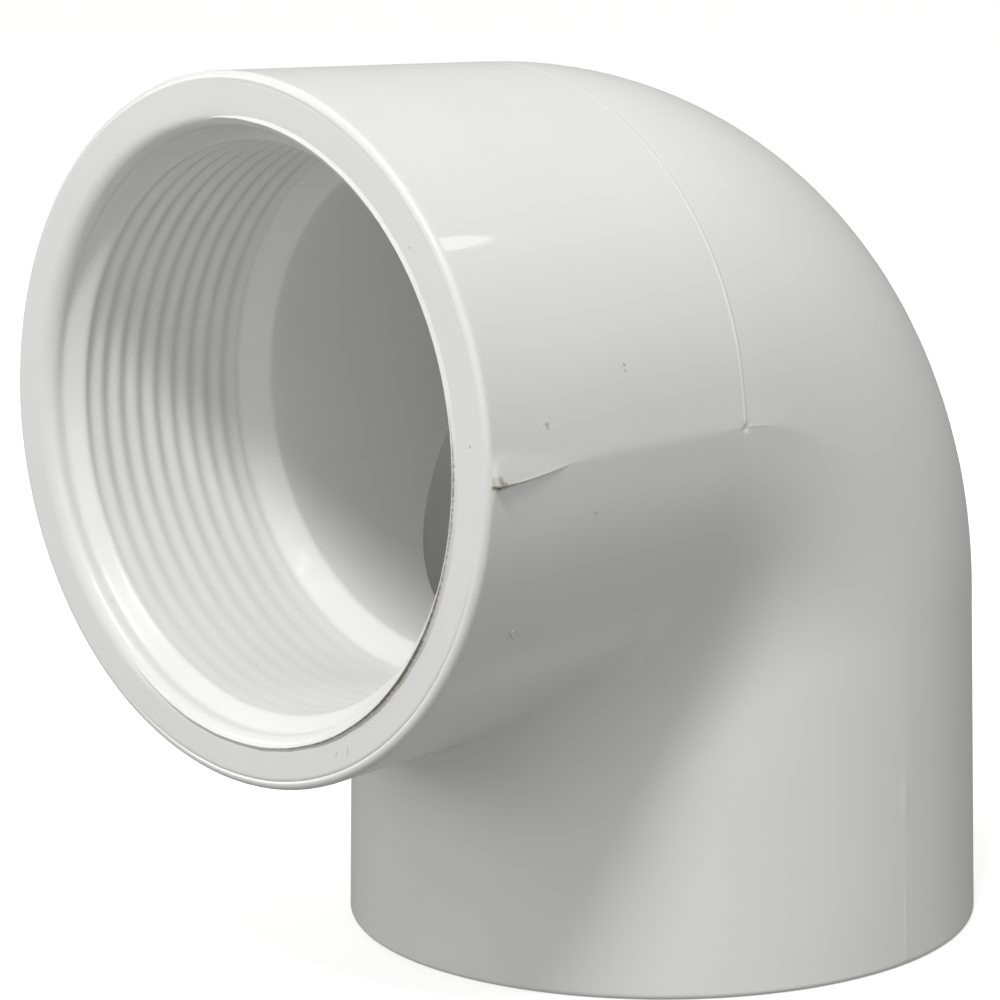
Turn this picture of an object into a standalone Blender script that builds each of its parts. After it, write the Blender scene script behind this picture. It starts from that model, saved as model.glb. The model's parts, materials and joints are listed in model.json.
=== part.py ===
"""Ninety degree PVC elbow for irrigation pipe, with a G 2 female pipe thread in each port.

The elbow is one injection moulding. It stands on its lower port: the origin is the middle of the
bounding box in X and Y, on the plane of the lower port's face. The side port opens towards -Y.

The cores of a port are modelled in port space: the axes cross at the origin, the port opens towards +Z.
"""

import math

import bmesh
import bpy
from mathutils import Vector

MM = 0.001
MERGE_DISTANCE = 0.01 * MM

# Outside of the moulding
PORT_RADIUS = 35.6 * MM
FACE_TO_AXIS = 61.5 * MM
BEND_RADIUS = 25.5 * MM
CROTCH_RADIUS = 10.0 * MM
DRAFT = math.radians(1.0)
RIM_ROUND = 0.7 * MM

# Mouth of each port
LEAD_IN_RADIUS = 30.2 * MM
LEAD_IN_DEPTH = 1.7 * MM
MOUTH_ROUND = 0.8 * MM
LEAD_IN_CONE = 1.8 * MM

# G 2 pipe thread, 11 turns to the inch
THREAD_MAJOR_RADIUS = 29.807 * MM
THREAD_MINOR_RADIUS = 28.328 * MM
THREAD_PITCH = 2.309 * MM
THREAD_ROOT_WIDTH = THREAD_PITCH / 6
THREAD_TURNS = 10
THREAD_END_DEPTH = 24.9 * MM

# Waterway behind the thread
WATERWAY_RADIUS = 26.5 * MM
HEEL_RADIUS = BEND_RADIUS + WATERWAY_RADIUS
SHOULDER_DEPTH = 27.5 * MM
SHOULDER_LENGTH = 1.2 * MM

# Fineness of the faceted solid
SIDES = 32
BEND_STEPS = 5
MOUTH_STEPS = 3

# How far a cutter runs past the surface it cuts
CLEAR = 3.0 * MM
THREAD_CLEAR = 0.15 * MM
THREAD_CORE_INSET = 1.0 * MM

AXES_CROSSING = Vector((0, (FACE_TO_AXIS - PORT_RADIUS) / 2, FACE_TO_AXIS))
SIDE_PORT_TURN = (math.radians(90), 0, 0)
LOWER_PORT_TURN = (math.radians(180), 0, 0)
MITRE_TURN = (math.radians(45), 0, 0)
HALF_SIDE = math.pi / SIDES


def clear_scene():
    for obj in list(bpy.data.objects):
        bpy.data.objects.remove(obj, do_unlink=True)


def new_collection(name):
    collection = bpy.data.collections.new(name)
    bpy.context.scene.collection.children.link(collection)
    return collection


def new_object(name, bm, collection):
    mesh = bpy.data.meshes.new(name)
    bm.to_mesh(mesh)
    bm.free()
    obj = bpy.data.objects.new(name, mesh)
    collection.objects.link(obj)
    return obj


def new_empty(name, location, rotation, collection):
    empty = bpy.data.objects.new(name, None)
    empty.location = location
    empty.rotation_euler = rotation
    collection.objects.link(empty)
    return empty


def profile_object(name, points, collection, closed=False):
    """A profile of (radius, height) points in the XZ plane, to be turned about Z."""
    bm = bmesh.new()
    verts = [bm.verts.new((radius, 0, height)) for radius, height in points]
    for first, second in zip(verts, verts[1:]):
        bm.edges.new((first, second))
    if closed:
        bm.edges.new((verts[-1], verts[0]))
    return new_object(name, bm, collection)


def add_screw(obj, turns=1, pitch=0.0):
    screw = obj.modifiers.new("turn", "SCREW")
    screw.axis = "Z"
    screw.steps = SIDES
    screw.render_steps = SIDES
    screw.iterations = turns
    screw.screw_offset = pitch
    screw.use_merge_vertices = pitch == 0
    screw.merge_threshold = MERGE_DISTANCE


def add_mitre_mirror(obj, mitre_plane):
    mirror = obj.modifiers.new("mitre", "MIRROR")
    mirror.use_axis = (False, False, True)
    mirror.mirror_object = mitre_plane
    mirror.merge_threshold = MERGE_DISTANCE


def add_cut(obj, cutter):
    cut = obj.modifiers.new("cut_" + cutter.name, "BOOLEAN")
    cut.operation = "DIFFERENCE"
    cut.solver = "EXACT"
    cut.object = cutter


def with_closed_ends(obj):
    """Replaces the object's modifiers with their result, its open ends filled."""
    evaluated = obj.evaluated_get(bpy.context.evaluated_depsgraph_get())
    mesh = bpy.data.meshes.new_from_object(evaluated)
    bm = bmesh.new()
    bm.from_mesh(mesh)
    bmesh.ops.holes_fill(bm, edges=bm.edges[:])
    bmesh.ops.recalc_face_normals(bm, faces=bm.faces[:])
    bm.to_mesh(mesh)
    bm.free()
    obj.modifiers.clear()
    obj.data = mesh


def line_round_corner(x, height, corner):
    """A lengthwise line's turn from the side port's direction to the mitre plane, on an arc."""
    centre = height - corner
    points = []
    for step in range(BEND_STEPS + 1):
        turn = math.radians(45) * step / BEND_STEPS
        points.append(Vector((x, centre + corner * math.sin(turn), centre + corner * math.cos(turn))))
    return points


def skin_line(angle):
    """One lengthwise line of the outer skin, from the side port's face to the mitre plane.

    Over the heel and the flanks the line turns about the bend's centre. In the crotch that centre
    would lie outside the pipe, so there the line keeps the crotch's own radius.
    """
    waist = PORT_RADIUS - (FACE_TO_AXIS - BEND_RADIUS) * math.tan(DRAFT)
    height = waist * math.cos(angle)
    corner = max(BEND_RADIUS + height, CROTCH_RADIUS)
    mouth = Vector((PORT_RADIUS * math.sin(angle), -FACE_TO_AXIS, PORT_RADIUS * math.cos(angle)))
    return [mouth] + line_round_corner(waist * math.sin(angle), height, corner)


def waterway_line(angle):
    """One lengthwise line of the waterway, from inside the side port to the mitre plane.

    The two bores are straight and meet in a sharp edge at the crotch. At the heel they are rounded
    to keep the wall's thickness.
    """
    height = WATERWAY_RADIUS * math.cos(angle)
    corner = HEEL_RADIUS * max(math.cos(angle), 0)
    start = SHOULDER_DEPTH - CLEAR - FACE_TO_AXIS
    x = WATERWAY_RADIUS * math.sin(angle)
    return [Vector((x, start, height))] + line_round_corner(x, height, corner)


def lofted_half(line_at, first_angle):
    """The side port's half of a bent tube, closed at the port's end and open at the mitre plane.

    The bend is tighter than the tube's own radius, where no swept curve can follow, so the half is
    lofted between its lengthwise lines.
    """
    bm = bmesh.new()
    lines = []
    for side in range(SIDES):
        line = line_at(first_angle + math.tau * side / SIDES)
        lines.append([bm.verts.new(point) for point in line])
    for line, following in zip(lines, lines[1:] + lines[:1]):
        for row in range(len(line) - 1):
            bm.faces.new((line[row], line[row + 1], following[row + 1], following[row]))
    bm.faces.new([line[0] for line in lines])
    bmesh.ops.remove_doubles(bm, verts=bm.verts[:], dist=MERGE_DISTANCE)
    bmesh.ops.recalc_face_normals(bm, faces=bm.faces[:])
    return bm


def mouth_points():
    """The turned profile of the mouth's rounded inner edge, from outside the face to the lead-in."""
    centre_radius = LEAD_IN_RADIUS + MOUTH_ROUND
    centre_height = FACE_TO_AXIS - MOUTH_ROUND
    points = []
    for step in range(MOUTH_STEPS + 1):
        turn = math.radians(75) * (1 - step / MOUTH_STEPS)
        radius = centre_radius - MOUTH_ROUND * math.cos(turn)
        points.append((radius, centre_height + MOUTH_ROUND * math.sin(turn)))
    edge_radius, edge_height = points[0]
    return [(edge_radius + CLEAR, edge_height + CLEAR)] + points


def build_socket_core(collection):
    """The turned hollow of a port, from past its face to past the shoulder behind the thread."""
    outer = mouth_points()
    lead_in_height = FACE_TO_AXIS - LEAD_IN_DEPTH
    shoulder_height = FACE_TO_AXIS - SHOULDER_DEPTH
    shoulder_slope = (THREAD_MINOR_RADIUS - WATERWAY_RADIUS) / SHOULDER_LENGTH
    outer.append((LEAD_IN_RADIUS, lead_in_height))
    outer.append((THREAD_MINOR_RADIUS, lead_in_height - LEAD_IN_CONE))
    outer.append((THREAD_MINOR_RADIUS, shoulder_height + SHOULDER_LENGTH))
    outer.append((WATERWAY_RADIUS - CLEAR * shoulder_slope, shoulder_height - CLEAR))
    profile = [(0, outer[0][1])] + outer + [(0, outer[-1][1])]
    core = profile_object("socket_core", profile, collection)
    add_screw(core)
    return core


def build_thread_core(collection):
    """The helical ridge that forms the thread's groove, right-handed, closed at both ends."""
    root_half = THREAD_ROOT_WIDTH / 2
    flank_slope = (THREAD_PITCH / 2 - THREAD_ROOT_WIDTH) / (THREAD_MAJOR_RADIUS - THREAD_MINOR_RADIUS)
    foot_radius = THREAD_MINOR_RADIUS - THREAD_CLEAR
    foot_half = root_half + flank_slope * (THREAD_MAJOR_RADIUS - foot_radius)
    end_height = FACE_TO_AXIS - THREAD_END_DEPTH
    profile = [
        (foot_radius - THREAD_CORE_INSET, end_height + foot_half),
        (foot_radius, end_height + foot_half),
        (THREAD_MAJOR_RADIUS, end_height + root_half),
        (THREAD_MAJOR_RADIUS, end_height - root_half),
        (foot_radius, end_height - foot_half),
        (foot_radius - THREAD_CORE_INSET, end_height - foot_half),
    ]
    core = profile_object("thread_core", profile, collection, closed=True)
    add_screw(core, THREAD_TURNS, THREAD_PITCH)
    with_closed_ends(core)
    core.rotation_euler.z = HALF_SIDE
    return core


def build_waterway_core(collection, mitre_plane):
    core = new_object("waterway_core", lofted_half(waterway_line, HALF_SIDE), collection)
    core.location = AXES_CROSSING
    add_mitre_mirror(core, mitre_plane)
    return core


def mark_as_cutter(obj):
    obj.display_type = "WIRE"
    obj.hide_render = True


def copy_for(obj, name, collection):
    copy = obj.copy()
    copy.name = name
    collection.objects.link(copy)
    return copy


def build_cutters(collection, side_port, lower_port, mitre_plane):
    waterway = build_waterway_core(collection, mitre_plane)
    side_cores = [build_socket_core(collection), build_thread_core(collection)]
    lower_cores = [copy_for(core, "lower_" + core.name, collection) for core in side_cores]
    for core in side_cores:
        core.parent = side_port
    for core in lower_cores:
        core.parent = lower_port
    cutters = [waterway] + side_cores + lower_cores
    for cutter in cutters:
        mark_as_cutter(cutter)
    return cutters


def white_pvc():
    material = bpy.data.materials.new("white_pvc")
    material.use_nodes = True
    shader = material.node_tree.nodes["Principled BSDF"]
    shader.inputs["Base Color"].default_value = (0.80, 0.81, 0.79, 1.0)
    shader.inputs["Roughness"].default_value = 0.28
    shader.inputs["Metallic"].default_value = 0.0
    return material


def build_elbow(collection, mitre_plane, cutters):
    elbow = new_object("elbow_body", lofted_half(skin_line, 0), collection)
    elbow.location = AXES_CROSSING
    add_mitre_mirror(elbow, mitre_plane)
    rims = elbow.modifiers.new("rims", "BEVEL")
    rims.width = RIM_ROUND
    rims.segments = 2
    rims.limit_method = "ANGLE"
    rims.angle_limit = math.radians(60)
    for cutter in cutters:
        add_cut(elbow, cutter)
    elbow.data.materials.append(white_pvc())
    elbow.data.shade_smooth()
    return elbow


def main():
    clear_scene()
    parts = new_collection("pvc_elbow_fitting")
    cutting = new_collection("cutters")
    side_port = new_empty("side_port", AXES_CROSSING, SIDE_PORT_TURN, parts)
    lower_port = new_empty("lower_port", AXES_CROSSING, LOWER_PORT_TURN, parts)
    mitre_plane = new_empty("mitre_plane", AXES_CROSSING, MITRE_TURN, parts)
    cutters = build_cutters(cutting, side_port, lower_port, mitre_plane)
    build_elbow(parts, mitre_plane, cutters)
    bpy.context.view_layer.update()


main()
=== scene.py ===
"""Looks of the white PVC elbow: the smooth moulding with its threads, mould lines and trimmed rim.

Everything is in the row frame, in metres. A half of the elbow is built in port space, where the
axes cross at the origin and the side port opens towards -Y. Swapping Y and Z gives the other half.
A lengthwise line is named by its angle about the port's axis: 0 at the heel, pi at the crotch.
A depth is measured from the port's face, and a pair of depths is a stretch over which something
fades in or out.
"""

import json
import math

import bmesh
import bpy
import numpy as np
from mathutils import Matrix, Vector


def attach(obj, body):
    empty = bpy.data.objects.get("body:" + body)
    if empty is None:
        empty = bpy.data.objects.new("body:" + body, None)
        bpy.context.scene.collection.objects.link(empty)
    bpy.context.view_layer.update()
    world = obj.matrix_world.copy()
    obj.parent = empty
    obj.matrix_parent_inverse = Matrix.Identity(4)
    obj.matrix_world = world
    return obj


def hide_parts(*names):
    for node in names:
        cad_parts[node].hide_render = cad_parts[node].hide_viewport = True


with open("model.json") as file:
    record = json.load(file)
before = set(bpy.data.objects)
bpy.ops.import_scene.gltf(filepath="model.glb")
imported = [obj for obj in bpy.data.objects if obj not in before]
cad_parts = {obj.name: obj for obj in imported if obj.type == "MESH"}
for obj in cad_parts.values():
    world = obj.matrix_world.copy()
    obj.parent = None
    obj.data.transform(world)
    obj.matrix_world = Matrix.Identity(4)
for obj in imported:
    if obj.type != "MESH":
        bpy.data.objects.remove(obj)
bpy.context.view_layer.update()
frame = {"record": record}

MM = 0.001
SEED = 7

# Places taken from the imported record
MOUNTS = {mount["name"]: mount["pos_m"] for mount in frame["record"]["mounts"]}
SIDE_FACE = MOUNTS["side_port_face"]
LOWER_FACE = MOUNTS["lower_port_face"]
AXES_CROSSING = Vector((0, LOWER_FACE[1], SIDE_FACE[2]))
FACE_TO_AXIS = AXES_CROSSING.z - LOWER_FACE[2]

# Outside
PORT_RADIUS = 35.6 * MM
BEND_RADIUS = 25.5 * MM
CROTCH_RADIUS = 10.0 * MM
CROTCH_BLEND = 2.0 * MM
DRAFT = math.radians(1.0)
HALF_TURN = math.radians(45)
WAIST_RADIUS = PORT_RADIUS - (FACE_TO_AXIS - BEND_RADIUS) * math.tan(DRAFT)
SKIN_WAVE = 0.02 * MM

# Mould line along both sides. It is lower on the lower port, and on the side port it fades in the bend.
RIDGE_HEIGHT = 0.17 * MM
LOWER_RIDGE_HEIGHT = 0.05 * MM
RIDGE_FADE = (40 * MM, 54 * MM)
RIDGE_REACH = 3.4 * MM
RIDGE_SOFTNESS = 0.55 * MM

# Fine bead on the mould line, near the rims and around the notch
BEAD_HEIGHT = 0.035 * MM
BEAD_WIDTH = 0.14 * MM
BEAD_END = (7 * MM, 13 * MM)
BEAD_RESTART = (34 * MM, 36 * MM)
BEAD_LAST_END = (37 * MM, 41 * MM)

# Overhanging step of the mould line beside the side port's rim, where the right line also sinks
OVERHANG = 0.37 * MM
OVERHANG_LENGTH = 10.5 * MM
OVERHANG_REACH = 3.0 * MM
OVERHANG_WIDENING = (-3 * MM, 2.5 * MM)
SEAM_DIP = 1.2 * MM
SEAM_DIP_COURSE = (1.5 * MM, 17 * MM)
SEAM_DIP_REACH = 4.0 * MM

# Trimmed stub at the end of the step, and the ejector's round stub on the lower port
STUB_HEIGHT = 0.2 * MM
STUB_PLACE = (1.3 * MM, 0.15 * MM)
STUB_SIZE = (0.7 * MM, 0.4 * MM)
EJECTOR_STUB_HEIGHT = 0.16 * MM
EJECTOR_STUB_DEPTH = 18.2 * MM
EJECTOR_STUB_SIZE = 0.5 * MM

# Witness line of the mould's insert across the heel, and the notch where it meets the mould line
WITNESS_HEIGHT = 0.095 * MM
WITNESS_WIDTH = 0.16 * MM
WITNESS_FADE = 0.5 * MM
NOTCH_DEPTH = 0.16 * MM
NOTCH_WIDTH = 0.35 * MM

# Rim and mouth
RIM_ROUND = 0.7 * MM
RIM_RISE_END = 1.0 * MM
RIM_SCORE_RADIUS = 34.65 * MM
RIM_SCORE_WIDTH = 0.16 * MM
RIM_SCORE_DEPTH = 0.11 * MM
MOUTH_ROUND = 1.2 * MM
LEFT_MOUTH_ROUND = 0.6 * MM
LAND_RADIUS = 30.2 * MM
LAND_DEPTH = 2.0 * MM
LEAD_IN_LENGTH = 1.6 * MM

# Flash left standing around the side port's mouth
FLASH_COLUMNS = 900
FLASH_CREST_RADIUS = 31.1 * MM
FLASH_HEIGHT = 0.30 * MM
FLASH_WIDTH = 0.38 * MM
FLASH_TRIMMED_DEPTH = 0.35 * MM

# G 2 pipe thread, shallow and rounded, with this share of its depth at the crotch
THREAD_CREST_RADIUS = 28.65 * MM
THREAD_DEPTH = 0.26 * MM
CROTCH_THREAD_SHARE = 0.15
THREAD_PITCH = 2.309 * MM
THREAD_START_DEPTH = 2.3 * MM
THREAD_TURNS = 10.3
THREAD_RUN_IN = 0.1
THREAD_RUN_OUT = 1.6

# Waterway
WATERWAY_RADIUS = 26.5 * MM
HEEL_RADIUS = BEND_RADIUS + WATERWAY_RADIUS
SHOULDER_DEPTH = 27.5 * MM
SHOULDER_LENGTH = 2.8 * MM
WALL_SOFTNESS = 0.2 * MM

# Fineness of the mesh
FILL_COLUMNS = 57
ROWS_PER_PITCH = 13
SHOULDER_ROWS = 11
SHOULDER_ROWS_START = SHOULDER_DEPTH - 1.2 * MM
SHOULDER_ROWS_END = SHOULDER_DEPTH + 0.5 * MM
WATERWAY_ROWS = 24
BEND_ROWS = 22
PORT_ROWS = 10
SEAM_OFFSETS = np.array([0.05, 0.12, 0.22, 0.4, 0.7, 1.05, 1.4, 1.75, 2.1, 2.5, 3.1]) * MM
NEAR_RIM_DEPTHS = MM * np.array(
    [0.7, 0.9, 1.15, 1.4, 1.7, 2.0, 2.4, 3.0, 3.8, 4.8, 6.0, 7.5, 9.0, 10.5, 12.0]
)
WITNESS_OFFSETS = np.array([0.05, 0.11, 0.18, 0.28, 0.45, 0.8]) * MM

# Small marks on the side port: angle in degrees, depth in mm (radius on the rim), length and width
# in mm, slant in radians, and whether the mark is on the rim
SPECK_THICKNESS = 0.03 * MM
SCUFF_THICKNESS = 0.13 * MM
SCUFFS = [(118, 7.0, 1.1, 0.3, 0.7), (117, 6.6, 0.5, 0.25, 1.9)]
SPECKS = [
    (129, 52.0, 0.45, 0.4, 0),
    (84, 7.8, 0.4, 0.3, 0.5),
    (77, 19.0, 0.35, 0.3, 0.9),
    (99, 14.5, 0.35, 0.25, 0.2),
    (152, 33.2, 1.1, 0.12, 0.5, True),
    (155, 33.0, 0.8, 0.1, 0.9, True),
    (52, 32.6, 0.3, 0.25, 0, True),
    (86, 33.3, 0.28, 0.25, 0, True),
]

# Painted shade with dirt in a line along the right mould line, below its overhanging step, and dirt on
# its trimmed stub: offsets and widths across the line, and the stub's as depth, then height above the line
DIRT_AND_SHADE_LINE_OFFSET = 0.12 * MM
DIRT_AND_SHADE_LINE_WIDTH = 0.26 * MM
DIRT_AND_SHADE_LINE_END = (2 * MM, 9.5 * MM)
DIRTY_STUB_PLACE = (1.1 * MM, 0.4 * MM)
DIRTY_STUB_SIZE = (1.1 * MM, 0.85 * MM)
CLEAN_RIM_DEPTH = 0.4 * MM

# Ripples around the stop shoulders, on walls this much inside the port's outside
RIPPLE_START = (17 * MM, 24 * MM)
RIPPLE_END = (28 * MM, 31 * MM)
LEAST_WALL = 4 * MM

rng = np.random.default_rng(SEED)


def smoothstep(low, high, value):
    """A smooth rise from 0 at the low value to 1 at the high one."""
    share = np.clip((value - low) / (high - low), 0, 1)
    return share * share * (3 - 2 * share)


def bell(offset, width):
    """A smooth bump of height 1 around an offset of 0."""
    return np.exp(-((offset / width) ** 2))


def wrapped(angle):
    """The angle in -pi to pi."""
    return (angle + math.pi) % math.tau - math.pi


def column_angles():
    """The angles of the lengthwise lines, close together along the two mould lines."""
    near = SEAM_OFFSETS / PORT_RADIUS
    seam = np.concatenate([-near[::-1], [0], near])
    fill = np.linspace(near[-1], math.pi - near[-1], FILL_COLUMNS + 2)[1:-1]
    half = np.concatenate([seam, fill])
    return np.concatenate([half, half + math.pi]) + math.pi / 2


ANGLES = column_angles()
SINE, COSINE = np.sin(ANGLES), np.cos(ANGLES)
SEAM_DISTANCE = np.arcsin(COSINE) * PORT_RADIUS
ON_HEEL = SEAM_DISTANCE > 0


def smooth_noise(angles, waves, strength):
    """Random values around a ring, with no step where it closes."""
    total = np.zeros_like(angles)
    for wave in waves:
        phase = rng.uniform(0, math.tau)
        total += rng.normal() * np.sin(wave * angles + phase)
    return strength * total / math.sqrt(len(waves))


def ring(radius, depth, angles=ANGLES):
    """A ring of points at these radii and depths behind the port's face."""
    radius = radius * np.ones_like(angles)
    depth = depth * np.ones_like(angles)
    return np.stack([radius * np.sin(angles), depth - FACE_TO_AXIS, radius * np.cos(angles)], axis=1)


def bend_point(height, corner, turn):
    """Points that have turned by this much from the port's direction, and their outward directions."""
    centre = height - corner
    across = np.stack([np.sin(turn), np.cos(turn)], axis=1)
    return centre[:, None] + corner[:, None] * across, across


def mould_line_rise(depth, is_side_port):
    """How far the skin stands out along the mould line at this depth."""
    distance = np.abs(SEAM_DISTANCE)
    rounded = np.hypot(distance, RIDGE_SOFTNESS)
    height = LOWER_RIDGE_HEIGHT
    if is_side_port:
        fading = 1 - smoothstep(*RIDGE_FADE, depth)
        height = height + (RIDGE_HEIGHT - LOWER_RIDGE_HEIGHT) * fading
    rise = height * np.clip(1 - rounded / RIDGE_REACH, 0, 1) ** 2
    rise += BEAD_HEIGHT * bead_share(depth, is_side_port) * bell(SEAM_DISTANCE, BEAD_WIDTH)
    if is_side_port:
        share = np.clip(1 - depth / OVERHANG_LENGTH, 0, 1)
        reach = OVERHANG_REACH * np.maximum(share, 0.02) ** 0.7 * smoothstep(*OVERHANG_WIDENING, depth)
        flare = np.clip(1 - distance / reach, 0, 1) ** 0.65
        rise += np.where(ON_HEEL, OVERHANG * share ** 0.7 * flare, 0)
    return rise


def bead_share(depth, is_side_port):
    """Where the mould line also carries a fine bead: near the rims and around the notch."""
    near_rim = 1 - smoothstep(*BEAD_END, depth)
    near_notch = smoothstep(*BEAD_RESTART, depth) * (1 - smoothstep(*BEAD_LAST_END, depth))
    return near_rim + near_notch * is_side_port


def seam_dip(depth):
    """How far the right mould line has sunk below its straight course, near the side port's rim."""
    return SEAM_DIP * (1 - smoothstep(*SEAM_DIP_COURSE, depth))


def dipped_angles(dip):
    """The lengthwise lines' angles where those around the right mould line sink by this much."""
    return ANGLES + dip / PORT_RADIUS * bell(SEAM_DISTANCE, SEAM_DIP_REACH) * (SINE > 0)


def skin_wave(depth):
    """The slight waviness of the skin at this depth."""
    wave = np.sin(3 * ANGLES + depth * 130) + np.sin(5 * ANGLES - depth * 210 + 1.3)
    return SKIN_WAVE * wave / 2


def crotch_curve(share):
    """A turn of 45 degrees over a length of one, its curvature growing from nothing.

    Gives the way forward, the way inward and the direction at this share of the length.
    """
    steps = np.linspace(0, 1, 401)
    turn = HALF_TURN * (3 * steps ** 2 - steps ** 3) / 2
    forward = np.cumsum(np.cos(turn)) / len(steps)
    inward = np.cumsum(np.sin(turn)) / len(steps)
    return [np.interp(share, steps, values) for values in (forward, inward, turn)]


def skin_bend():
    """The height, corner radius and start of each lengthwise line's turn, and how far it is a crotch line."""
    height = WAIST_RADIUS * COSINE
    spare = (BEND_RADIUS + height - CROTCH_RADIUS) / CROTCH_BLEND
    corner = CROTCH_RADIUS + CROTCH_BLEND * np.logaddexp(0, spare)
    eased = smoothstep(0.15, 0.75, -COSINE)
    forward, inward, _ = crotch_curve(1.0)
    length = corner * (1 - math.cos(HALF_TURN)) / inward
    start = height - corner * (1 - eased) - length * (forward + inward) * eased
    return height, corner, length, start, eased


def skin_bend_ring(turn, is_side_port):
    """The skin where its lines have turned by this much, were they all plain arcs."""
    height, corner, length, start, eased = skin_bend()
    arc, _ = bend_point(height, corner, turn)
    forward, inward, direction = crotch_curve(turn / HALF_TURN)
    turn_off = length * sum(crotch_curve(1.0)[:2])
    along = arc[:, 0] * (1 - eased) + (height - turn_off + length * forward) * eased
    level = arc[:, 1] * (1 - eased) + (height - length * inward) * eased
    facing = turn * (1 - eased) + direction * eased
    travelled = corner * turn
    depth = start + FACE_TO_AXIS + travelled
    rise = mould_line_rise(depth, is_side_port) + skin_wave(depth)
    if is_side_port:
        rise = rise + witness_rise(travelled)
    inner = np.stack([WAIST_RADIUS * SINE, along, level], axis=1)
    outward = np.stack([SINE, COSINE * np.sin(facing), COSINE * np.cos(facing)], axis=1)
    return inner + outward * rise[:, None]


def skin_straight_ring(depth, bend_start, is_side_port):
    """The skin at this depth, between the rim and the start of the bend."""
    radius = PORT_RADIUS + (WAIST_RADIUS - PORT_RADIUS) * depth / bend_start
    rise = mould_line_rise(depth, is_side_port) + skin_wave(depth)
    if is_side_port:
        rise = rise + witness_rise(depth - bend_start) + stub_rise(depth)
    else:
        rise = rise + ejector_stub_rise(depth)
    angles = dipped_angles(seam_dip(depth) * is_side_port)
    return ring(radius + rise * smoothstep(0, RIM_RISE_END, depth), depth, angles)


def skin_rings(is_side_port):
    """The outer skin, from the mitre plane to the rim's rounded edge."""
    _, corner, _, start, _ = skin_bend()
    bend_start = start + FACE_TO_AXIS
    first_turns = WITNESS_OFFSETS[:, None] / corner[None, :]
    later = np.linspace(0, 1, BEND_ROWS + 1)[1:, None]
    turns = np.concatenate([first_turns, first_turns[-1] + later * (HALF_TURN - first_turns[-1])])
    rings = [skin_bend_ring(turn, is_side_port) for turn in turns[::-1]]
    last = NEAR_RIM_DEPTHS[-1]
    close = bend_start - WITNESS_OFFSETS[-1]
    shares = np.linspace(0, 1, PORT_ROWS + 2)[1:-1, None]
    depths = [bend_start] + [bend_start - offset for offset in WITNESS_OFFSETS]
    depths += list((close[None, :] * (1 - shares) + last * shares))
    depths += [np.full_like(ANGLES, depth) for depth in NEAR_RIM_DEPTHS[::-1]]
    return rings + [skin_straight_ring(depth, bend_start, is_side_port) for depth in depths]


def witness_rise(offset):
    """The fine, uneven raised line across the heel, with a notch where it meets the mould line."""
    fade = smoothstep(0, WITNESS_FADE, SEAM_DISTANCE)
    from_seam = np.degrees(SEAM_DISTANCE / PORT_RADIUS)
    strength = 0.35 + 0.65 * bell(from_seam - 14, 22) - 0.6 * bell(from_seam - 8, 3.5)
    line = WITNESS_HEIGHT * strength * fade * bell(offset, WITNESS_WIDTH)
    notch = bell(offset, NOTCH_WIDTH) * bell(SEAM_DISTANCE + 0.1 * MM, NOTCH_WIDTH)
    return line - NOTCH_DEPTH * notch


def stub_rise(depth):
    """The stub of trimmed flash beside the side port's rim."""
    (stub_depth, above), (length, width) = STUB_PLACE, STUB_SIZE
    body = bell(depth - stub_depth, length) * bell(SEAM_DISTANCE - above, width)
    return np.where(SINE > 0, STUB_HEIGHT * body, 0)


def ejector_stub_rise(depth):
    """The small round stub on the lower port's mould line."""
    body = bell(depth - EJECTOR_STUB_DEPTH, EJECTOR_STUB_SIZE) * bell(SEAM_DISTANCE, EJECTOR_STUB_SIZE)
    return np.where(SINE > 0, EJECTOR_STUB_HEIGHT * body, 0)


def score_share(degrees):
    """How deep the fine score near the rim's outer edge is: deepest below and to the right."""
    deep = smoothstep(96, 124, degrees) * (1 - smoothstep(185, 220, degrees))
    return 0.1 * smoothstep(-0.2, 0.3, np.sin(np.radians(degrees))) + 0.9 * deep


def rim_rings(dip):
    """The rounded outer edge and the flat face of the rim, down to where the mouth's edge begins."""
    rings = []
    angles = dipped_angles(dip)
    inner = PORT_RADIUS - RIM_ROUND
    for turn in np.linspace(0, math.pi / 2, 7)[1:]:
        radius = inner + RIM_ROUND * math.cos(turn)
        rings.append(ring(radius, RIM_ROUND * (1 - math.sin(turn)), angles))
    strength = score_share(np.degrees(ANGLES) % 360)
    for share in (1.3, 0.8, 0.4, 0, -0.4, -0.8, -1.3):
        depth = RIM_SCORE_DEPTH * strength * bell(share, 0.7)
        rings.append(ring(RIM_SCORE_RADIUS + share * RIM_SCORE_WIDTH, depth, angles))
    for radius, share in ((34.2, 0.9), (33.7, 0.7), (33.0, 0.4), (32.5, 0.15), (32.1, 0)):
        rings.append(ring(radius * MM, 0, dipped_angles(dip * share)))
    return rings


def mouth_rings():
    """The mouth's rounded inner edge, rounded further on the left."""
    rings = []
    width = MOUTH_ROUND + LEFT_MOUTH_ROUND * smoothstep(0.1, 0.8, -SINE)
    for turn in np.linspace(0, math.pi / 2, 8):
        radius = LAND_RADIUS + width * (1 - math.sin(turn))
        rings.append(ring(radius, MOUTH_ROUND * (1 - math.cos(turn))))
    return rings


def flash_share(degrees):
    """How much of the flash is left: all of it on the right and below, none on the left."""
    from_left = (degrees + 90) % 360
    return smoothstep(65, 102, from_left) * (1 - smoothstep(282, 322, from_left))


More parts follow.
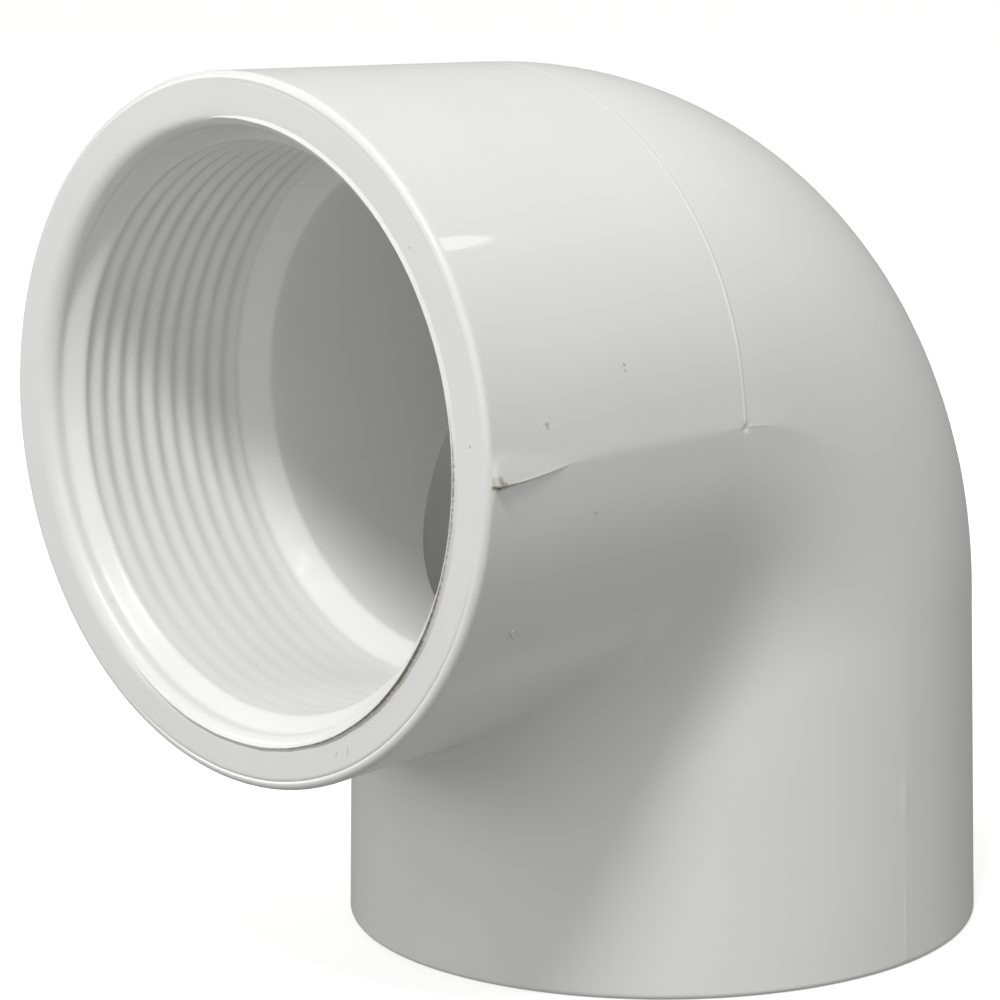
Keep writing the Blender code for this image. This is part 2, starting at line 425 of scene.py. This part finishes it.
def flash_rings():
    """The trimmed flash around the side port's mouth, a fine strip sunk into the rim and the wall."""
    angles = np.arange(FLASH_COLUMNS) * math.tau / FLASH_COLUMNS
    degrees = np.degrees(angles)
    share = flash_share(degrees)
    torn = smoothstep(70, 88, degrees) * (1 - smoothstep(172, 190, degrees))
    fine = smooth_noise(angles, range(90, 330, 7), 1)
    broad = smooth_noise(angles, range(5, 60, 4), 1)
    tall = 0.62 + 0.4 * bell(degrees - 95, 30) + 0.85 * bell(degrees - 135, 24)
    tall += 0.04 * broad + torn * (0.03 * fine + 0.05 * broad)
    height = FLASH_HEIGHT * tall * share
    sunk = FLASH_TRIMMED_DEPTH * (1 - share)
    crest = FLASH_CREST_RADIUS + 0.25 * MM * bell(degrees - 140, 32) + 0.02 * MM * broad
    width = FLASH_WIDTH * (1 + 0.3 * bell(degrees - 128, 26) + torn * (0.09 * fine + 0.07 * broad))
    foot = crest + width
    profile = [
        (foot + 0.05 * MM, 0.06 * MM),
        (foot, 0.0),
        (crest + 0.62 * width, -0.20 * height),
        (crest + 0.36 * width, -0.52 * height),
        (crest + 0.18 * width, -0.80 * height),
        (crest + 0.06 * width, -0.96 * height),
        (crest, -height),
        (crest - 0.05 * MM, -0.96 * height),
        (crest - 0.10 * MM, -0.82 * height),
        (crest - 0.20 * MM, -0.3 * height),
        (crest - 0.40 * MM, 0.42 * MM),
        (crest - 0.55 * MM, 0.85 * MM),
        (crest, 0.9 * MM),
    ]
    return np.array([ring(radius, depth + sunk, angles) for radius, depth in profile])


def plain_wall(depth):
    """The hollow's radius without the thread, its corners softened as a mould's are."""
    depths = [0, LAND_DEPTH, LAND_DEPTH + LEAD_IN_LENGTH]
    radii = [LAND_RADIUS, LAND_RADIUS, THREAD_CREST_RADIUS]
    depths += [SHOULDER_DEPTH - SHOULDER_LENGTH, SHOULDER_DEPTH, FACE_TO_AXIS]
    radii += [THREAD_CREST_RADIUS, WATERWAY_RADIUS, WATERWAY_RADIUS]
    spread = np.linspace(-2, 2, 9)
    weights = np.exp(-spread ** 2 / 2)
    samples = [np.interp(depth + step * WALL_SOFTNESS, depths, radii) for step in spread]
    return np.average(samples, axis=0, weights=weights)


def threaded_wall(depth, hand):
    """The hollow's radius around a ring, with the thread's groove cut into it, shallower at the crotch."""
    wall = plain_wall(depth)
    along = wrapped(ANGLES * hand - math.pi / 2) / math.tau + 0.5
    turns = (depth - THREAD_START_DEPTH) / THREAD_PITCH - along
    groove = np.round(turns)
    travelled = groove + along
    started = smoothstep(0, THREAD_RUN_IN, travelled)
    ended = 1 - smoothstep(THREAD_TURNS - THREAD_RUN_OUT, THREAD_TURNS, travelled)
    shape = 0.5 + 0.5 * np.cos(math.tau * (turns - groove))
    fullness = CROTCH_THREAD_SHARE + (1 - CROTCH_THREAD_SHARE) * smoothstep(-1.0, 0.0, COSINE)
    return wall + THREAD_DEPTH * shape * started * ended * fullness


def socket_rings(hand):
    """The threaded wall, from the land to past the shoulder."""
    step = THREAD_PITCH / ROWS_PER_PITCH
    depths = list(np.arange(MOUTH_ROUND + step, SHOULDER_ROWS_START, step))
    depths += list(np.linspace(SHOULDER_ROWS_START, SHOULDER_ROWS_END, SHOULDER_ROWS))
    return [ring(threaded_wall(depth, hand), depth) for depth in depths]


def waterway_rings():
    """The bore behind the shoulder, rounded at the heel and with a sharp edge at the crotch."""
    height = WATERWAY_RADIUS * COSINE
    corner = HEEL_RADIUS * np.clip(COSINE, 0, None)
    start = SHOULDER_ROWS_END - FACE_TO_AXIS
    straight = height - corner - start
    length = straight + corner * HALF_TURN
    rings = []
    for share in np.linspace(0, 1, WATERWAY_ROWS + 1)[1:]:
        travelled = share * length
        turn = np.clip(travelled - straight, 0, None) / np.maximum(corner, 1e-9)
        points, _ = bend_point(height, corner, np.clip(turn, 0, HALF_TURN))
        y = np.where(travelled < straight, start + travelled, points[:, 0])
        z = np.where(travelled < straight, height, points[:, 1])
        rings.append(np.stack([WATERWAY_RADIUS * SINE, y, z], axis=1))
    return rings


def half_rings(is_side_port):
    """All rings of one half, from the skin at the mitre plane, over the rim and back inside."""
    hand = 1 if is_side_port else -1
    dip = SEAM_DIP if is_side_port else 0
    rings = skin_rings(is_side_port) + rim_rings(dip) + mouth_rings()
    rings += socket_rings(hand) + waterway_rings()
    rings = np.array(rings)
    return rings if is_side_port else rings[:, :, [0, 2, 1]]


def grid_mesh(name, rings):
    """A closed skin over rings that follow one another, the last joined to the first."""
    rows, columns = rings.shape[:2]
    points = rings.reshape(-1, 3) + np.array(AXES_CROSSING)
    index = np.arange(rows * columns).reshape(rows, columns)
    right = np.roll(index, -1, axis=1)
    following = np.roll(index, -1, axis=0)
    corner = np.roll(right, -1, axis=0)
    faces = np.stack([index, right, corner, following], axis=-1).reshape(-1, 4)
    mesh = bpy.data.meshes.new(name)
    mesh.from_pydata(points.tolist(), [], faces.tolist())
    mesh.shade_smooth()
    bm = bmesh.new()
    bm.from_mesh(mesh)
    bmesh.ops.recalc_face_normals(bm, faces=bm.faces[:])
    bm.to_mesh(mesh)
    bm.free()
    return mesh


def link_piece(mesh, material):
    """A piece with this mesh, which rides the fitting's only body and stands for its CAD node."""
    mesh.materials.append(material)
    piece = bpy.data.objects.new(mesh.name, mesh)
    bpy.context.scene.collection.objects.link(piece)
    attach(piece, "root")
    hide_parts("elbow_body")
    return piece


def sharpen_crotch(mesh, row, columns):
    """Marks the edge where the two bores meet, from side to side through the crotch."""
    low = set((row * columns + np.flatnonzero(COSINE < 0)).tolist())
    for edge in mesh.edges:
        if low.issuperset(edge.vertices):
            edge.use_edge_sharp = True


def store_values(mesh, name, amount):
    """Keeps one value per point of the mesh for the material to read."""
    layer = mesh.attributes.new(name, "FLOAT", "POINT")
    layer.data.foreach_set("value", np.ascontiguousarray(amount, dtype=np.float32))


def skin_dirt_and_shade(local):
    """How much dirt and painted shade the moulding carries: dirt on the trimmed stub beside the rim, and
    painted shade with dirt below the step along its mould line.
    """
    depth = local[:, 1] + FACE_TO_AXIS
    outside = np.hypot(local[:, 0], local[:, 2]) > PORT_RADIUS - 1.5 * MM
    dirt_and_shade_zone = outside & (local[:, 0] > 0) & (depth > CLEAN_RIM_DEPTH)
    below = -local[:, 2] - seam_dip(depth)
    # A line of painted shade, with dirt, just below the overhanging step of the right mould line
    line = bell(below - DIRT_AND_SHADE_LINE_OFFSET, DIRT_AND_SHADE_LINE_WIDTH) * (1 - smoothstep(*DIRT_AND_SHADE_LINE_END, depth))
    (stub_depth, above), (length, width) = DIRTY_STUB_PLACE, DIRTY_STUB_SIZE
    stub = bell(below + above, width) * bell(depth - stub_depth, length)
    return np.where(dirt_and_shade_zone, np.clip(0.7 * line + 0.8 * stub, 0, 1.3), 0)


def bore_ripple(local):
    """How rippled the wall is: only around the shoulders, where the moulding's cores met."""
    side_depth, lower_depth = local[:, 1] + FACE_TO_AXIS, local[:, 2] + FACE_TO_AXIS
    amount = np.zeros(len(local))
    for depth, across in ((side_depth, local[:, 2]), (lower_depth, local[:, 1])):
        inside = np.hypot(local[:, 0], across) < PORT_RADIUS - LEAST_WALL
        band = smoothstep(*RIPPLE_START, depth) * (1 - smoothstep(*RIPPLE_END, depth))
        amount += inside * band
    return amount


def build_moulding(material):
    """The whole white skin, inside and outside."""
    side, lower = half_rings(True), half_rings(False)
    # The halves share the first ring, on the skin, and the last, in the waterway.
    mesh = grid_mesh("elbow_moulding", np.concatenate([side, lower[-2:0:-1]]))
    sharpen_crotch(mesh, len(side) - 1, side.shape[1])
    points = np.empty(len(mesh.vertices) * 3)
    mesh.vertices.foreach_get("co", points)
    local = points.reshape(-1, 3) - np.array(AXES_CROSSING)
    store_values(mesh, "grime", skin_dirt_and_shade(local))
    store_values(mesh, "ripple", bore_ripple(local))
    return link_piece(mesh, material)


def build_flash(material):
    """The strip of flash, with dirt and painted shade on its outer slope, to the right and below."""
    rings = flash_rings()
    mesh = grid_mesh("mouth_flash", rings)
    rows, columns = rings.shape[:2]
    degrees = np.arange(columns) * 360 / columns
    # Painted shade with dirt on the flash's outer slope, strongest below and to the right
    around = 0.6 * bell(degrees - 92, 15) + 1.1 * bell(degrees - 131, 22) + 0.5 * bell(degrees - 162, 12)
    # Dirt and painted shade by row of the flash's profile, from its foot to its crest
    across = np.zeros(rows)
    across[:6] = (0, 0.1, 0.35, 1.0, 1.7, 0.5)
    store_values(mesh, "grime", np.outer(across, around).ravel())
    return link_piece(mesh, material)


def surface_frame(angle, depth, on_rim):
    """A place on the side port, with the directions along it, around it and outwards."""
    sine, cosine = math.sin(angle), math.cos(angle)
    outwards, around, along = Vector((sine, 0, cosine)), Vector((cosine, 0, -sine)), Vector((0, 1, 0))
    if on_rim:
        place = outwards * depth + Vector((0, -FACE_TO_AXIS, 0))
        return place, outwards, around, -along
    return outwards * PORT_RADIUS + along * (depth - FACE_TO_AXIS), along, around, outwards


def add_mark(bm, thickness, angle, depth, length, width, slant, on_rim=False):
    """A speck or scratch: a very flat pebble, lying in the surface with its long side slanted."""
    place, along, around, outwards = surface_frame(math.radians(angle), depth * MM, on_rim)
    long_side = along * math.cos(slant) + around * math.sin(slant)
    short_side = outwards.cross(long_side)
    turn = Matrix((long_side, short_side, outwards)).transposed().to_4x4()
    size = Matrix.Diagonal((length * MM / 2, width * MM / 2, thickness, 1))
    pose = Matrix.Translation(AXES_CROSSING + place) @ turn @ size
    bmesh.ops.create_icosphere(bm, subdivisions=2, radius=1, matrix=pose)


def build_marks(name, marks, thickness, material):
    """One piece that holds all marks of one kind."""
    bm = bmesh.new()
    for mark in marks:
        add_mark(bm, thickness, *mark)
    mesh = bpy.data.meshes.new(name)
    bm.to_mesh(mesh)
    bm.free()
    mesh.shade_smooth()
    return link_piece(mesh, material)


# Looks of the materials. Noise scales are per metre, and pairs are a range from low to high.
PVC_COLOURS = (0.795, 0.80, 0.78, 1), (0.82, 0.825, 0.81, 1)
PVC_COLOUR_STOPS = (0.3, 0.7)
PVC_IOR = 1.5
PVC_ROUGHNESS = (0.28, 0.42)
PEEL_STRENGTH = 0.3
PEEL_DEPTH = 0.015 * MM
COAT_WEIGHT = (0.35, 0.055)
COAT_ROUGHNESS = 0.045
RIPPLE_ROUGHNESS = 0.3
RIPPLE_DEPTH = 0.3 * MM
# Brown-grey of dirt, also used as painted shade below the mould line's step and on the flash's outer slope
DIRT_AND_SHADE_COLOUR = (0.27, 0.235, 0.19, 1)
DIRT_AND_SHADE_STARTS, DIRT_AND_SHADE_IS_FULL = 0.12, 0.62
DIRT_COLOURS = (0.42, 0.41, 0.38, 1), (0.62, 0.61, 0.58, 1)
DIRT_ROUGHNESS = 0.7
NOISE_SCALE = {"mottle": 70, "polish": 180, "swirl": 520, "peel": 900, "grime": 2400, "dirt": 3000}


def new_material(name):
    material = bpy.data.materials.new(name)
    material.use_nodes = True
    nodes, links = material.node_tree.nodes, material.node_tree.links
    return material, nodes, links, nodes["Principled BSDF"]


def add_noise(nodes, links, place, kind, detail):
    noise = nodes.new("ShaderNodeTexNoise")
    noise.inputs["Scale"].default_value = NOISE_SCALE[kind]
    noise.inputs["Detail"].default_value = detail
    links.new(place.outputs["Object"], noise.inputs["Vector"])
    return noise.outputs["Fac"]


def add_stored_values(nodes, name):
    """The values that were kept on the mesh under this name."""
    stored = nodes.new("ShaderNodeAttribute")
    stored.attribute_name = name
    return stored.outputs["Fac"]


def add_map(nodes, links, value, low, high):
    """Maps a value from 0 to 1 onto the range from low to high."""
    mapped = nodes.new("ShaderNodeMapRange")
    mapped.inputs["To Min"].default_value = low
    mapped.inputs["To Max"].default_value = high
    links.new(value, mapped.inputs["Value"])
    return mapped


def add_ramp(nodes, links, value, colours, stops=(0, 1)):
    """Blends two colours by a value, between these two stops."""
    ramp = nodes.new("ShaderNodeValToRGB")
    for element, colour, stop in zip(ramp.color_ramp.elements, colours, stops):
        element.color = colour
        element.position = stop
    links.new(value, ramp.inputs["Fac"])
    return ramp.outputs["Color"]


def add_bump(nodes, links, height, depth):
    bump = nodes.new("ShaderNodeBump")
    bump.inputs["Distance"].default_value = depth
    links.new(height, bump.inputs["Height"])
    return bump


def add_dirt_and_shade(nodes, links, place, clean):
    """Brown-grey dirt and painted shade over the clean colour where the mesh's stored dirt-and-shade value
    and a fine noise agree.
    """
    broken = nodes.new("ShaderNodeMath")
    broken.operation = "MULTIPLY"
    links.new(add_stored_values(nodes, "grime"), broken.inputs[0])
    links.new(add_noise(nodes, links, place, "grime", 3), broken.inputs[1])
    amount = add_map(nodes, links, broken.outputs["Value"], 0, 1)
    amount.interpolation_type = "SMOOTHSTEP"
    amount.inputs["From Min"].default_value = DIRT_AND_SHADE_STARTS
    amount.inputs["From Max"].default_value = DIRT_AND_SHADE_IS_FULL
    dirtied_and_shaded = nodes.new("ShaderNodeMix")
    dirtied_and_shaded.data_type = "RGBA"
    links.new(amount.outputs["Result"], dirtied_and_shaded.inputs["Factor"])
    links.new(clean, dirtied_and_shaded.inputs["A"])
    dirtied_and_shaded.inputs["B"].default_value = DIRT_AND_SHADE_COLOUR
    return dirtied_and_shaded.outputs["Result"]


def add_gloss(nodes, links, place, shader, rippled):
    """An uneven gloss, duller where the wall is rippled."""
    gloss = add_map(nodes, links, add_noise(nodes, links, place, "polish", 3), *PVC_ROUGHNESS)
    dulled = nodes.new("ShaderNodeMath")
    dulled.operation = "MULTIPLY_ADD"
    dulled.inputs[1].default_value = RIPPLE_ROUGHNESS
    links.new(rippled, dulled.inputs[0])
    links.new(gloss.outputs["Result"], dulled.inputs[2])
    links.new(dulled.outputs["Value"], shader.inputs["Roughness"])
    coat = add_map(nodes, links, rippled, *COAT_WEIGHT)
    links.new(coat.outputs["Result"], shader.inputs["Coat Weight"])
    shader.inputs["Coat Roughness"].default_value = COAT_ROUGHNESS


def add_relief(nodes, links, place, shader, rippled):
    """The skin's faint orange peel, and on its gloss the ripples of the shoulders."""
    peel = add_bump(nodes, links, add_noise(nodes, links, place, "peel", 5), PEEL_DEPTH)
    peel.inputs["Strength"].default_value = PEEL_STRENGTH
    links.new(peel.outputs["Normal"], shader.inputs["Normal"])
    ripples = add_bump(nodes, links, add_noise(nodes, links, place, "swirl", 1), RIPPLE_DEPTH)
    links.new(rippled, ripples.inputs["Strength"])
    links.new(ripples.outputs["Normal"], shader.inputs["Coat Normal"])


def pvc_material():
    material, nodes, links, shader = new_material("gloss_white_pvc")
    place = nodes.new("ShaderNodeTexCoord")
    mottle = add_noise(nodes, links, place, "mottle", 4)
    clean = add_ramp(nodes, links, mottle, PVC_COLOURS, PVC_COLOUR_STOPS)
    links.new(add_dirt_and_shade(nodes, links, place, clean), shader.inputs["Base Color"])
    shader.inputs["IOR"].default_value = PVC_IOR
    rippled = add_stored_values(nodes, "ripple")
    add_gloss(nodes, links, place, shader, rippled)
    add_relief(nodes, links, place, shader, rippled)
    return material


def dirt_material():
    material, nodes, links, shader = new_material("ground_in_dirt")
    place = nodes.new("ShaderNodeTexCoord")
    speckle = add_noise(nodes, links, place, "dirt", 3)
    links.new(add_ramp(nodes, links, speckle, DIRT_COLOURS), shader.inputs["Base Color"])
    shader.inputs["Roughness"].default_value = DIRT_ROUGHNESS
    return material


FLOOR_GREY = 0.72
FLOOR_GLOW = 0.62
FLOOR_SIZE = 60
BACKDROP_RADIUS = 25


def glowing_material(name, grey, roughness, glow):
    """A matt grey that also glows a little, so that it looks evenly pale."""
    material, _, _, shader = new_material(name)
    shader.inputs["Base Color"].default_value = (grey, grey, grey, 1)
    shader.inputs["Roughness"].default_value = roughness
    shader.inputs["Specular IOR Level"].default_value = 0
    shader.inputs["Emission Color"].default_value = (1, 1, 1, 1)
    shader.inputs["Emission Strength"].default_value = glow
    return material


def hide_from(obj, kinds):
    """Keeps an object out of these kinds of ray, so that it doesn't light the fitting."""
    for kind in kinds:
        setattr(obj, "visible_" + kind, False)


def add_stage():
    """A plain pale floor in front of a plain white backdrop."""
    bpy.ops.mesh.primitive_plane_add(size=FLOOR_SIZE, location=(0, 0, 0))
    floor = bpy.context.object
    floor.name = "floor"
    floor.data.materials.append(glowing_material("pale_floor", FLOOR_GREY, 0.9, FLOOR_GLOW))
    hide_from(floor, ("diffuse", "glossy"))
    bpy.ops.mesh.primitive_uv_sphere_add(radius=BACKDROP_RADIUS, segments=48, ring_count=24)
    backdrop = bpy.context.object
    backdrop.name = "backdrop"
    backdrop.data.materials.append(glowing_material("pale_backdrop", 0, 0.5, 1.0))
    hide_from(backdrop, ("diffuse", "glossy", "transmission", "volume_scatter", "shadow"))


# Disc lights: direction from the crossing of the axes, distance and diameter in metres, power in watts
LIGHTS = {
    "key": ((0.277, -0.543, 0.793), 1.0, 0.21, 5.6),
    "fill": ((0.50, -0.85, 0.16), 1.5, 0.7, 1.9),
    "left_fill": ((-0.75, -0.6, 0.28), 1.5, 0.7, 4.2),
    "right_fill": ((0.85, -0.49, 0.20), 1.6, 1.3, 0.9),
    "glint": ((0.479, 0.432, 0.764), 0.192, 0.014, 0.0035),
}
SKY_COLOUR = (1.0, 1.0, 0.985, 1)
SKY_BRIGHTNESS = 0.53
GROUND_BRIGHTNESS = 0.235
HORIZON_BLEND = 0.35


def add_disc_light(name, direction, distance, size, power):
    """A light that faces the fitting and isn't itself in the picture."""
    data = bpy.data.lights.new(name, "AREA")
    data.shape = "DISK"
    data.size = size
    data.energy = power
    light = bpy.data.objects.new(name, data)
    direction = Vector(direction).normalized()
    light.location = AXES_CROSSING + direction * distance
    light.rotation_mode = "QUATERNION"
    light.rotation_quaternion = direction.to_track_quat("Z", "Y")
    light.visible_camera = False
    bpy.context.scene.collection.objects.link(light)


def add_world():
    """Even light all round, dimmer from below."""
    world = bpy.data.worlds.new("studio")
    world.use_nodes = True
    nodes, links = world.node_tree.nodes, world.node_tree.links
    place = nodes.new("ShaderNodeTexCoord")
    split = nodes.new("ShaderNodeSeparateXYZ")
    links.new(place.outputs["Generated"], split.inputs["Vector"])
    level = add_map(nodes, links, split.outputs["Z"], GROUND_BRIGHTNESS, SKY_BRIGHTNESS)
    level.inputs["From Min"].default_value = -HORIZON_BLEND
    level.inputs["From Max"].default_value = HORIZON_BLEND
    background = nodes["Background"]
    background.inputs["Color"].default_value = SKY_COLOUR
    links.new(level.outputs["Result"], background.inputs["Strength"])
    bpy.context.scene.world = world


def add_lights():
    for name, values in LIGHTS.items():
        add_disc_light(name, *values)
    add_world()
    bpy.context.scene.view_settings.view_transform = "Standard"


# The photo's camera: where it stands, how it is turned, and its lens in mm
CAMERA_OFFSET = Vector((6.769, -7.377, 1.391)) * PORT_RADIUS
CAMERA_YAW = math.radians(135.40)
CAMERA_PITCH = math.radians(-10.22)
CAMERA_ROLL = math.radians(-0.83)
CAMERA_LENS = 115.94


def add_camera():
    """The camera at the photo's viewing angle."""
    level = math.cos(CAMERA_PITCH)
    forward = Vector((level * math.cos(CAMERA_YAW), level * math.sin(CAMERA_YAW), math.sin(CAMERA_PITCH)))
    right = forward.cross(Vector((0, 0, 1))).normalized()
    up = right.cross(forward)
    turn = Matrix((right, up, -forward)).transposed() @ Matrix.Rotation(CAMERA_ROLL, 3, "Z")
    data = bpy.data.cameras.new("camera")
    data.lens = CAMERA_LENS
    data.clip_start, data.clip_end = 0.01, 100
    camera = bpy.data.objects.new("camera", data)
    camera.matrix_world = Matrix.Translation(AXES_CROSSING + CAMERA_OFFSET) @ turn.to_4x4()
    bpy.context.scene.collection.objects.link(camera)
    bpy.context.scene.camera = camera


pvc = pvc_material()
build_moulding(pvc)
build_flash(pvc)
build_marks("scuffs", SCUFFS, SCUFF_THICKNESS, pvc)
build_marks("specks", SPECKS, SPECK_THICKNESS, dirt_material())
add_stage()
add_lights()
add_camera()
